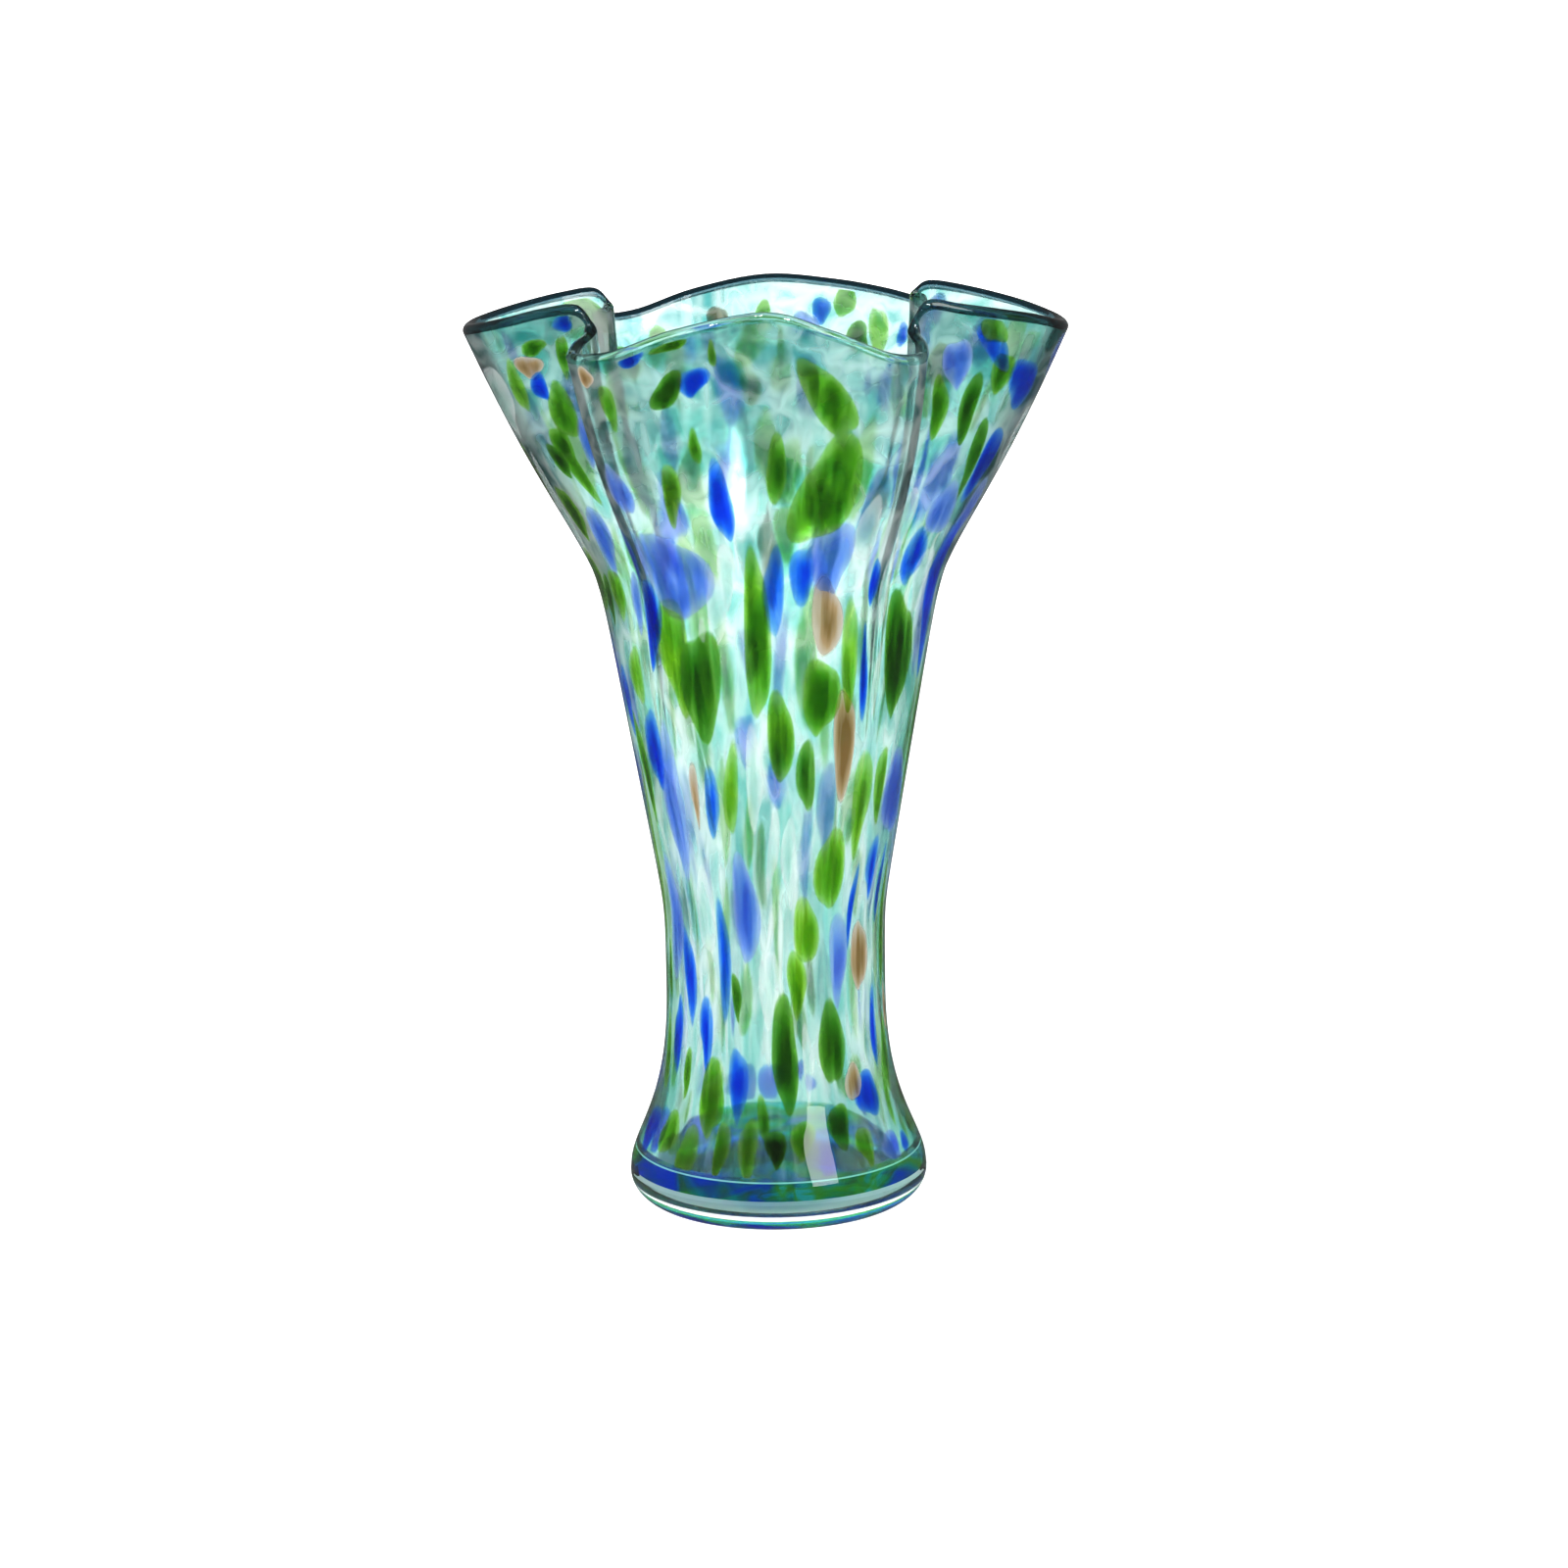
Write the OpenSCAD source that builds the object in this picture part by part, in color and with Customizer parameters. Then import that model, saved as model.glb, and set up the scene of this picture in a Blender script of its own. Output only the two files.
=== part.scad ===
// Hand blown art glass vase: heavy clear foot, coloured core cased in clear glass,
// chips of coloured glass between the two, four-lobed pinched rim.
// Millimetres, +Z up, origin at the middle of the foot's underside.
// The rim lobes at 0 and 180 degrees flare out, those at 90 and 270 stand up.

/* [Overall] */
// Height of the datum line of the lip above the table
lip_h = 289; // [240:1:350]
// Width across the two flared rim lobes
rim_w = 193; // [150:1:230]
// Width of the narrowest part of the body
waist_w = 72; // [60:0.5:90]
// Width of the foot
foot_w = 98; // [88:0.5:120]

/* [Foot] */
// Height of the clear foot below the coloured floor
foot_h = 11.5; // [10:0.5:20]
// How far in the foot's rounded lower edge reaches
foot_round = 14.5; // [6:0.5:18]
// Radius of the ground and polished hollow under the foot
pontil_r = 17; // [8:0.5:24]
// Depth of that hollow
pontil_depth = 2; // [0.5:0.1:4]
// Thickness of the coloured floor
floor_t = 6; // [3:0.5:10]

/* [Wall] */
// Clear casing thickness at the foot
casing_low = 4.5; // [2:0.1:7]
// Clear casing thickness at the lip
casing_top = 1.4; // [1:0.1:3]
// Coloured core thickness at the foot
core_low = 3.5; // [2:0.1:6]
// Coloured core thickness at the lip
core_top = 1.8; // [1:0.1:3]
// Space between core and casing that holds the chips
seam_gap = 1.0; // [0.8:0.05:1.6]

/* [Rim] */
// Reach of the front and back lobes compared with the side lobes
front_reach = 0.83; // [0.7:0.01:1]
// How far up the body the flutes start, as a share of the height
flute_start = 0.5; // [0.35:0.01:0.65]
// Rise of the front and back lobe crests above the datum
crest_rise = 8.3; // [0:0.1:14]
// Height of the bead that closes the lip
lip_bead = 2.4; // [1.5:0.1:4]

/* [Chips] */
// Thickness of a chip
chip_t = 0.4; // [0.3:0.05:0.6]
// Chip size compared with the drawn size
chip_scale = 1.0; // [0.6:0.05:1.05]

/* [Hidden] */
rim_r = rim_w / 2;
waist_r = waist_w / 2;
foot_r = foot_w / 2;
floor_z = foot_h + floor_t;
floor_fit = 0.25;

// body profile: a flare to the foot, a slow taper, then a wide flare to the rim
waist_z = 0.262 * lip_h;
taper_z = 0.345 * lip_h;
knee_z = 0.734 * lip_h;
taper_slope = 0.175;
taper_soft = 4;
knee_soft = 6;
flare_bow = 2;
heel_swell = 1.94;
heel_rise = heel_swell * (foot_r - waist_r);
heel_power = 2.6;
heel_soft = 1.2;
knee_run = knee_soft * ln(1 + exp((lip_h - knee_z) / knee_soft));
taper_run = taper_soft * ln(1 + exp((lip_h - taper_z) / taper_soft));
knee_slope = (rim_r - waist_r - taper_slope * taper_run) / knee_run;

function clamp(x) = min(1, max(0, x));
function soft_rise(d, s) = d > 12 * s ? d : s * ln(1 + exp(d / s));
function soft_min(a, b, s) = -s * ln(exp(-a / s) + exp(-b / s));
function heel_out(z) = z >= waist_z ? 0
    : soft_min(heel_rise * pow((waist_z - z) / waist_z, heel_power), foot_r - waist_r, heel_soft);
function bow(z) = flare_bow * sin(180 * clamp((z - knee_z) / (lip_h - knee_z)));
function body_r(z) = waist_r + heel_out(z) + taper_slope * soft_rise(z - taper_z, taper_soft)
    + knee_slope * soft_rise(z - knee_z, knee_soft) + bow(z);
function body_slope(z) = (body_r(z + 1) - body_r(z - 1)) / 2;

// wall thickness: thick at the heel, then thinning evenly to the lip
heel_h = 45;
casing_mid = 1.9;
core_mid = 2.3;
function ease(x) = let (c = clamp(x)) c * c * (3 - 2 * c);
function low_share(z) = 1 - ease((z - foot_h) / heel_h);
function top_share(z) = clamp((z - foot_h) / (lip_h - foot_h));
function blend(low, middle, top, z) = low * low_share(z)
    + (1 - low_share(z)) * (middle + (top - middle) * top_share(z));
function casing_t(z) = blend(casing_low, casing_mid, casing_top, z);
function core_t(z) = blend(core_low, core_mid, core_top, z);
function wall_t(z) = casing_t(z) + seam_gap + core_t(z);

// rim drawn a quarter at a time, from a side lobe tip to a front or back lobe crest:
// pinch angle, valley radius, corner radius, shoulder height, corner height, tip height
// and how much of the rise to the crest is made by the first and second key after the corner
QUARTERS = [
    [43.5, 0.725, 0.83, 7.8, 1.5, -1.5, 0.35, 0.75],
    [42.5, 0.745, 0.87, 7.0, -3.0, 0.0, 0.10, 0.62],
    [40.0, 0.745, 0.89, 8.5, -4.7, 0.0, 0.10, 0.62],
    [46.0, 0.695, 0.80, 8.5, -6.5, -1.5, 0.10, 0.62]];
function quarter(q) = let (p = q[0], v = q[1], c = q[2], sh = q[3], co = q[4], tip = q[5],
        up = crest_rise - co, rise = sh - tip) [
    [0, 1, tip],
    [10, 0.99, tip + 0.1 * rise],
    [21, 0.927, tip + 0.45 * rise],
    [p - 11, v + 0.094, tip + 0.85 * rise],
    [p - 3.5, v + 0.021, sh],
    [p, v, (sh + co) / 2],
    [p + 2.2, (v + c) / 2 + 0.012, co + 0.2 * (sh - co)],
    [p + 6.5, c + 0.003, co],
    [p + 16, 0.55 * c + 0.45 * front_reach + 0.005, co + q[6] * up],
    [p + 30, front_reach + 0.01, co + q[7] * up],
    [90, front_reach, crest_rise]];
q_back_right = quarter(QUARTERS[0]);
q_back_left = quarter(QUARTERS[1]);
q_front_left = quarter(QUARTERS[2]);
q_front_right = quarter(QUARTERS[3]);
steps = 10;
RIM = concat(
    [for (i = [0:steps]) q_back_right[i]],
    [for (i = [steps - 1:-1:0]) let (k = q_back_left[i]) [180 - k[0], k[1], k[2]]],
    [for (i = [1:steps]) let (k = q_front_left[i]) [180 + k[0], k[1], k[2]]],
    [for (i = [steps - 1:-1:1]) let (k = q_front_right[i]) [360 - k[0], k[1], k[2]]]);
rim_n = len(RIM);
function rim_key(i) = let (j = (i % rim_n + rim_n) % rim_n, k = RIM[j], turn = (i - j) / rim_n)
    [k[0] + 360 * turn, k[1], k[2]];
// smooth curve through the rim's keys
function rim_at(u) = let (i = floor(u), t = u - i, a = rim_key(i - 1), b = rim_key(i),
        c = rim_key(i + 1), d = rim_key(i + 2))
    0.5 * (2 * b + (c - a) * t + (2 * a - 5 * b + 4 * c - d) * t * t
        + (3 * b - a - 3 * c + d) * t * t * t);
// place along the rim for an angle
ANGLE_TO_KEY = [for (i = [-4:rim_n + 4]) [rim_key(i)[0], i]];
function key_for(a) = lookup(a, ANGLE_TO_KEY);

// middle of the wall at rim place u and body height z
flute_power = 1.6;
lift_start = 0.55;
lift_power = 1.8;
function flute(z) = pow(clamp((z / lip_h - flute_start) / (1 - flute_start)), flute_power);
function lift(z) = pow(clamp((z / lip_h - lift_start) / (1 - lift_start)), lift_power);
function mid(u, z) = let (k = rim_at(u), r0 = body_r(z) - wall_t(z) / 2,
        r = r0 * (1 - (1 - k[1]) * flute(z)))
    [r * cos(k[0]), r * sin(k[0]), z + k[2] * lift(z)];
lean_run = 15;
side_step = 0.05;
function lean(z) = atan(body_slope(z)) * clamp((z - floor_z) / lean_run);
function outward(u, z) = let (a = mid(u - side_step, z), b = mid(u + side_step, z),
        dx = b[0] - a[0],
        dy = b[1] - a[1], m = sqrt(dx * dx + dy * dy), f = lean(z))
    [dy / m * cos(f), -dx / m * cos(f), -sin(f)];
// a point of the wall, off is measured inwards from the outside face
function wall_at(u, z, off) = mid(u, z) + outward(u, z) * (wall_t(z) / 2 - off);

// the grid that every layer shares
per_key = 2;
cols = rim_n * per_key;
LOW_ROWS = [foot_h, floor_z, floor_z + 4.5, floor_z + 10, floor_z + 17, floor_z + 26];
HIGH_ROWS = [0.20, 0.26, 0.34, 0.43, 0.52, 0.61, 0.68, 0.715, 0.75, 0.79, 0.84, 0.89, 0.935,
    0.97, 1];
ROWS = concat(LOW_ROWS, [for (f = HIGH_ROWS) f * lip_h]);
rows = len(ROWS);
function ring(z, off) = [for (i = [0:cols - 1]) wall_at(i / per_key, z, off)];

// closed shell between two offsets given as functions of the row
module shell(first, outer, inner) {
    n = rows - first;
    pts = concat(
        [for (j = [first:rows - 1]) each ring(ROWS[j], outer[j])],
        [for (j = [first:rows - 1]) each ring(ROWS[j], inner[j])]);
    base = n * cols;
    faces = concat(
        [for (j = [0:n - 2], i = [0:cols - 1]) let (a = j * cols + i,
            b = j * cols + (i + 1) % cols) each [[a, b + cols, b], [a, a + cols, b + cols]]],
        [for (j = [0:n - 2], i = [0:cols - 1]) let (a = base + j * cols + i,
            b = base + j * cols + (i + 1) % cols) each [[a, b, b + cols], [a, b + cols, a + cols]]],
        [for (i = [0:cols - 1]) let (a = i, b = (i + 1) % cols)
            each [[a, b, base + b], [a, base + b, base + a]]],
        [for (i = [0:cols - 1]) let (a = (n - 1) * cols + i, b = (n - 1) * cols + (i + 1) % cols)
            each [[a, base + b, b], [a, base + a, base + b]]]);
    polyhedron(points = pts, faces = faces, convexity = 8);
}

// heavy clear foot: rounded lower edge, ground hollow underneath
edge_land = 0.5;
round_steps = 10;
hollow_steps = 4;
module foot() {
    round_h = foot_h - edge_land;
    hollow = [for (i = [0:hollow_steps]) let (s = i / hollow_steps)
        [pontil_r * s, pontil_depth * (1 - s * s)]];
    lower_edge = [for (i = [0:round_steps]) let (a = 90 * i / round_steps)
        [foot_r - foot_round * (1 - sin(a)), round_h * (1 - cos(a))]];
    color("#dfe6e6")
    rotate_extrude($fn = 180)
    polygon(concat(hollow, lower_edge, [[foot_r, foot_h], [0, foot_h]]));
}

// coloured floor, tapered as the casing is where the two stand side by side
function floor_r(z) = body_r(z) - casing_t(z) - seam_gap - floor_fit;
module core_floor() {
    color("#16505a")
    translate([0, 0, foot_h])
    cylinder(r1 = floor_r(foot_h), r2 = floor_r(floor_z), h = floor_t, $fn = 180);
}

module casing() {
    color("#cfe9e6")
    shell(0, [for (z = ROWS) 0], [for (z = ROWS) casing_t(z)]);
}

module core() {
    color("#3fa9a0")
    shell(1, [for (z = ROWS) casing_t(z) + seam_gap], [for (z = ROWS) wall_t(z)]);
}

// half-round bead over both layers
lip_arc = 6;
module lip() {
    z = lip_h;
    t = wall_t(z);
    pts = [for (i = [0:cols - 1]) each let (u = i / per_key, o = wall_at(u, z, 0),
            n = outward(u, z), f = lean(z), m = sqrt(n[0] * n[0] + n[1] * n[1]),
            up = [n[0] / m * sin(f), n[1] / m * sin(f), cos(f)])
        [for (k = [0:lip_arc]) let (a = 180 * k / lip_arc)
            o - n * (t / 2) * (1 - cos(a)) + up * lip_bead * sin(a)]];
    w = lip_arc + 1;
    faces = [for (i = [0:cols - 1]) let (a = i * w, b = ((i + 1) % cols) * w)
        each concat(
            [for (k = [0:lip_arc - 1]) each [[a + k, a + k + 1, b + k + 1],
                [a + k, b + k + 1, b + k]]],
            [[a, b, b + lip_arc], [a, b + lip_arc, a + lip_arc]])];
    color("#0f2f35")
    polyhedron(points = pts, faces = faces, convexity = 8);
}

// one chip: angle, height, width, length, slant in degrees
chip_pts = 10;
chip_blunt = 0.9;
function chip_at(a, z, off) = wall_at(key_for(a), z, off);
function chip_ring(c, off) = let (r = body_r(c[1]) - wall_t(c[1]) / 2,
        hw = c[2] / 2 * chip_scale, hl = c[3] / 2 * chip_scale)
    [for (k = [0:chip_pts - 1]) let (t = 360 * k / chip_pts, wide = pow(abs(cos(t)), chip_blunt),
            x0 = hw * sign(cos(t)) * wide, y0 = hl * sin(t),
            x = x0 * cos(c[4]) + y0 * sin(c[4]), y = y0 * cos(c[4]) - x0 * sin(c[4]))
        chip_at(c[0] + x / r * 180 / PI, c[1] + y, off)];
module chip(c) {
    seam = casing_t(c[1]) + seam_gap / 2;
    out = concat(chip_ring(c, seam - chip_t / 2), [chip_at(c[0], c[1], seam - chip_t / 2)]);
    in = concat(chip_ring(c, seam + chip_t / 2), [chip_at(c[0], c[1], seam + chip_t / 2)]);
    n = chip_pts + 1;
    faces = [for (k = [0:chip_pts - 1]) let (l = (k + 1) % chip_pts)
        each [[k, n - 1, l], [n + k, n + l, 2 * n - 1], [k, l, n + l], [k, n + l, n + k]]];
    polyhedron(points = concat(out, in), faces = faces, convexity = 2);
}
module chips(list) {
    for (c = list) chip(c);
}

// chips round the back, in staggered rows shared out between the colours
BACK_Z = [40, 72, 108, 146, 188, 226, 262];
BACK_W = [7, 6, 6, 7, 8, 9, 11];
BACK_L = [16, 26, 30, 32, 30, 18, 14];
back_first = 12;
back_step = 21;
back_rows = len(BACK_Z);
back_cols = 8;
back_kinds = 7;
back_seed = 866;
angle_drift = 3;
height_drift = 2;
width_drift = 0.2;
length_drift = 0.12;
lean_drift = 3;
JITTER = rands(-1, 1, 2 * back_rows * back_cols, back_seed);
// no chip is laid across a pinched corner of the rim
pinch_from = 215;
pinch_clear = 15;
BACK_PINCHES = [44, 137];
function by_pinch(a, z) = z > pinch_from && min([for (p = BACK_PINCHES) abs(a - p)]) < pinch_clear;
function back(kind) = [for (j = [0:back_rows - 1], i = [0:back_cols - 1])
    let (n = j * back_cols + i, s = JITTER[n], l = JITTER[back_rows * back_cols + n],
        a = back_first + back_step * (i + (j % 2) / 2) + angle_drift * s)
    if ((i * 5 + j * 3) % back_kinds == kind && !by_pinch(a, BACK_Z[j]))
        [a, BACK_Z[j] + height_drift * l, BACK_W[j] * (1 + width_drift * l),
            BACK_L[j] * (1 + length_drift * s), lean_drift * l]];

module chips_green() {
    color("#3f8a24")
    chips(concat([[286, 244, 19, 34, 18], [289, 176, 10, 24, 0], [265, 196, 7, 52, 0],
        [273, 160, 6, 20, 0], [243, 268, 11, 11, 0], [236, 44, 7, 18, 0],
        [196, 275, 9, 6, 0], [206, 243, 8, 16, 0], [342, 266, 9, 9, 0]], back(0)));
}
module chips_forest() {
    color("#1f4a1c")
    chips(concat([[243, 178, 10, 34, 0], [284, 148, 5, 20, 0], [326, 185, 9, 38, 0],
        [274, 57, 8, 34, 0], [300, 60, 7, 28, 0], [336, 248, 5, 14, 0]], back(1)));
}
module chips_lime() {
    color("#7fae3a")
    chips(concat([[240, 243, 7, 18, 6], [231, 196, 6, 26, 0], [301, 190, 5, 38, 0],
        [312, 138, 7, 28, 0], [297, 118, 8, 24, 0], [286, 98, 6, 18, 0],
        [204, 222, 6, 14, 0], [281, 30, 7, 10, 0]], back(2)));
}
module chips_cobalt() {
    color("#1b4fd0")
    chips(concat([[256, 273, 11, 8, 0], [258, 236, 7, 24, 0], [223, 218, 5, 12, 6],
        [213, 158, 6, 24, 0], [243, 142, 4, 18, 0], [337, 192, 6, 36, 0], [241, 84, 4, 30, 0],
        [321, 40, 9, 14, 0], [228, 66, 4, 18, 0], [252, 46, 5, 20, 0], [194, 30, 7, 12, 0],
        [200, 256, 7, 8, 0]], back(3)));
}
module chips_periwinkle() {
    color("#7487e0")
    chips(concat([[241, 218, 9, 16, 0], [296, 222, 8, 14, 0], [222, 130, 7, 36, 0],
        [337, 138, 8, 24, 0], [256, 108, 6, 32, 0], [206, 100, 6, 30, 0],
        [306, 90, 5, 20, 0], [348, 236, 7, 26, 0]], back(4)));
}
module chips_aventurine() {
    color("#b79a78")
    chips(concat([[290, 203, 9, 20, 0], [301, 156, 6, 20, 0], [322, 86, 6, 22, 0],
        [196, 265, 9, 8, 0], [312, 46, 6, 12, 0]], back(5)));
}
module chips_opal() {
    color("#eef6f4")
    chips(concat([[262, 150, 4, 24, 0], [251, 205, 4, 20, 0], [277, 122, 4, 22, 0],
        [266, 80, 4, 20, 0], [232, 104, 4, 24, 0], [315, 212, 5, 20, 0]], back(6)));
}

foot();
core_floor();
casing();
core();
lip();
chips_green();
chips_forest();
chips_lime();
chips_cobalt();
chips_periwinkle();
chips_aventurine();
chips_opal();
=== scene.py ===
# Hand blown art glass vase: clear foot and casing over a mottled teal core,
# with melted chips of coloured glass between them and a pinched, fire-polished rim.
import functools
import math
import random

import bpy
import mathutils
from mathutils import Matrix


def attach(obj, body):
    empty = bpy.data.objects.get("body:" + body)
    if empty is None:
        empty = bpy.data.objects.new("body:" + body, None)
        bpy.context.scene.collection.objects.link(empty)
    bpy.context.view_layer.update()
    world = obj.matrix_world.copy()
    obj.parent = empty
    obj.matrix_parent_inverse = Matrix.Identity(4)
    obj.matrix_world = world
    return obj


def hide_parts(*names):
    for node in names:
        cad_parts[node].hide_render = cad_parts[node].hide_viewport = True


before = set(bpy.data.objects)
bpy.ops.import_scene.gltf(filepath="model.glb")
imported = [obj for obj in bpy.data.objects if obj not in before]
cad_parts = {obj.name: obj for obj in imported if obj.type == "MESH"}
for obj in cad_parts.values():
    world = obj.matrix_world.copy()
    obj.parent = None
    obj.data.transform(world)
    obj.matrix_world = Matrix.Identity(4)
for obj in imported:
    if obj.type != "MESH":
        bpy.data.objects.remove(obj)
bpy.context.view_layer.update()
MM = 0.001

# ---------------------------------------------------------------- sizes (mm)
LIP_H = 289.0
RIM_R = 96.5
WAIST_R = 36.0
FOOT_R = 49.0
FOOT_H = 11.5
FOOT_ROUND = 14.5
FOOT_LAND = 0.5
PONTIL_R = 17.0
PONTIL_DEPTH = 2.0
FLOOR_T = 6.0
FLOOR_Z = FOOT_H + FLOOR_T
CASING_LOW, CASING_MID, CASING_TOP = 4.5, 1.9, 1.4
CORE_LOW, CORE_MID, CORE_TOP = 3.5, 2.3, 1.8
SEAM = 1.0
FLOOR_FIT = 0.25
FRONT_REACH = 0.83
CREST = 8.3
LIP_BEAD = 2.4

WAIST_Z = 0.262 * LIP_H
TAPER_Z = 0.345 * LIP_H
KNEE_Z = 0.734 * LIP_H
TAPER = 0.175
TAPER_SOFT = 4
KNEE_SOFT = 6
FLARE_BOW = 2.0
HEEL_SWELL = 1.94
HEEL_POWER = 2.6
HEEL_SOFT = 1.2
HEEL_H = 45
FLUTE_FROM, FLUTE_POWER = 0.5, 1.6
LIFT_FROM, LIFT_POWER = 0.55, 1.8
LEAN_H = 15


# ---------------------------------------------------------------- the vase's surface
def clamp(x, low=0.0, high=1.0):
    return max(low, min(high, x))


def ease(x):
    x = clamp(x)
    return x * x * (3 - 2 * x)


def soft_rise(d, s):
    """Nothing, then a slope, with a rounded start."""
    return d if d > 12 * s else s * math.log(1 + math.exp(d / s))


def soft_min(a, b, s):
    """The lesser of two, with a rounded change from one to the other."""
    return -s * math.log(math.exp(-a / s) + math.exp(-b / s))


TAPER_GAIN = TAPER * soft_rise(LIP_H - TAPER_Z, TAPER_SOFT)
KNEE_SLOPE = (RIM_R - WAIST_R - TAPER_GAIN) / soft_rise(LIP_H - KNEE_Z, KNEE_SOFT)


@functools.lru_cache(maxsize=None)
def body_r(z):
    """Outside radius of the round body, before the rim is pinched."""
    heel = 0.0
    if z < WAIST_Z:
        swell = HEEL_SWELL * (FOOT_R - WAIST_R) * ((WAIST_Z - z) / WAIST_Z) ** HEEL_POWER
        heel = soft_min(swell, FOOT_R - WAIST_R, HEEL_SOFT)
    taper = TAPER * soft_rise(z - TAPER_Z, TAPER_SOFT)
    flare = KNEE_SLOPE * soft_rise(z - KNEE_Z, KNEE_SOFT)
    bow = FLARE_BOW * math.sin(math.pi * clamp((z - KNEE_Z) / (LIP_H - KNEE_Z)))
    return WAIST_R + heel + taper + flare + bow


def low_share(z):
    """How much of the heavy heel's thickness is left at a height."""
    return 1 - ease((z - FOOT_H) / HEEL_H)


def top_share(z):
    return clamp((z - FOOT_H) / (LIP_H - FOOT_H))


def casing_t(z):
    k = low_share(z)
    return CASING_LOW * k + (1 - k) * (CASING_MID + (CASING_TOP - CASING_MID) * top_share(z))


def core_t(z):
    k = low_share(z)
    return CORE_LOW * k + (1 - k) * (CORE_MID + (CORE_TOP - CORE_MID) * top_share(z))


def wall_t(z):
    return casing_t(z) + SEAM + core_t(z)


# pinch angle, valley radius, corner radius, shoulder, corner and tip heights, two crest shares
QUARTERS = (
    (43.5, 0.725, 0.83, 7.8, 1.5, -1.5, 0.35, 0.75),
    (42.5, 0.745, 0.87, 7.0, -3.0, 0.0, 0.10, 0.62),
    (40.0, 0.745, 0.89, 8.5, -4.7, 0.0, 0.10, 0.62),
    (46.0, 0.695, 0.80, 8.5, -6.5, -1.5, 0.10, 0.62),
)


def quarter(pinch, valley, corner, shoulder, dip, tip, first, second):
    """Angle, reach and height of the rim from the middle of a side lobe to a standing lobe's crest."""
    up, rise = CREST - dip, shoulder - tip
    return [
        (0, 1, tip),
        (10, 0.99, tip + 0.1 * rise),
        (21, 0.927, tip + 0.45 * rise),
        (pinch - 11, valley + 0.094, tip + 0.85 * rise),
        (pinch - 3.5, valley + 0.021, shoulder),
        (pinch, valley, (shoulder + dip) / 2),
        (pinch + 2.2, (valley + corner) / 2 + 0.012, dip + 0.2 * (shoulder - dip)),
        (pinch + 6.5, corner + 0.003, dip),
        (pinch + 16, 0.55 * corner + 0.45 * FRONT_REACH + 0.005, dip + first * up),
        (pinch + 30, FRONT_REACH + 0.01, dip + second * up),
        (90, FRONT_REACH, CREST),
    ]


def rim_keys():
    back_right, back_left, front_left, front_right = (quarter(*q) for q in QUARTERS)
    keys = list(back_right)
    keys += [(180 - a, r, h) for a, r, h in back_left[-2::-1]]
    keys += [(180 + a, r, h) for a, r, h in front_left[1:]]
    keys += [(360 - a, r, h) for a, r, h in front_right[-2:0:-1]]
    return keys


RIM = rim_keys()
RIM_N = len(RIM)


def rim_key(i):
    a, r, h = RIM[i % RIM_N]
    return (a + 360 * (i // RIM_N), r, h)


@functools.lru_cache(maxsize=None)
def rim_at(u):
    """A smooth curve through the rim's keys."""
    i = math.floor(u)
    t = u - i
    a, b, c, d = (rim_key(i + k) for k in (-1, 0, 1, 2))
    return [0.5 * (2 * q + (r - p) * t + (2 * p - 5 * q + 4 * r - s) * t * t
                   + (3 * q - p - 3 * r + s) * t ** 3) for p, q, r, s in zip(a, b, c, d)]


KEYS_BEFORE = 5
KEY_ANGLES = [rim_key(i)[0] for i in range(-KEYS_BEFORE, RIM_N + KEYS_BEFORE + 1)]


def key_for(angle):
    """Place along the rim's keys that lies at an angle."""
    angle = angle % 360
    for i, (low, high) in enumerate(zip(KEY_ANGLES, KEY_ANGLES[1:])):
        if low <= angle < high:
            return i - KEYS_BEFORE + (angle - low) / (high - low)
    return 0.0


def middle(key, z):
    """The wall's middle line: round below, taking the rim's shape towards the lip."""
    angle, reach, rise = key
    flute = clamp((z / LIP_H - FLUTE_FROM) / (1 - FLUTE_FROM)) ** FLUTE_POWER
    lift = clamp((z / LIP_H - LIFT_FROM) / (1 - LIFT_FROM)) ** LIFT_POWER
    r = (body_r(z) - wall_t(z) / 2) * (1 - (1 - reach) * flute)
    a = math.radians(angle)
    return r * math.cos(a), r * math.sin(a), z + rise * lift


def lean(z):
    """How far the wall leans outwards; none at the floor, where it stands square."""
    slope = (body_r(z + 1) - body_r(z - 1)) / 2
    return math.atan(slope) * clamp((z - FLOOR_Z) / LEAN_H)


def wall_point(u, z, off):
    """A point of the wall in mm; off is measured inwards from the outside face."""
    beside = 0.05
    x, y, h = middle(rim_at(u), z)
    x0, y0, _ = middle(rim_at(u - beside), z)
    x1, y1, _ = middle(rim_at(u + beside), z)
    run = math.hypot(x1 - x0, y1 - y0)
    tilt = lean(z)
    d = wall_t(z) / 2 - off
    return (x + (y1 - y0) / run * math.cos(tilt) * d,
            y - (x1 - x0) / run * math.cos(tilt) * d,
            h - math.sin(tilt) * d)


# ---------------------------------------------------------------- small helpers
def linear(hex_colour, alpha=1.0):
    """sRGB hex to linear RGBA."""
    rgb = [int(hex_colour[i:i + 2], 16) / 255 for i in (1, 3, 5)]
    return [c / 12.92 if c <= 0.04045 else ((c + 0.055) / 1.055) ** 2.4 for c in rgb] + [alpha]


def put(tree, kind, settings=None, **sockets):
    """Add a node with its settings. A socket goes by its name, or by its number as s0, s1 and on;
    its value may be another node's output."""
    made = tree.nodes.new(kind)
    for name, value in (settings or {}).items():
        setattr(made, name, value)
    for name, value in sockets.items():
        key = int(name[1:]) if name[1:].isdigit() else name.replace("_", " ")
        if isinstance(value, bpy.types.NodeSocket):
            tree.links.new(value, made.inputs[key])
        else:
            made.inputs[key].default_value = value
    return made


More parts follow.
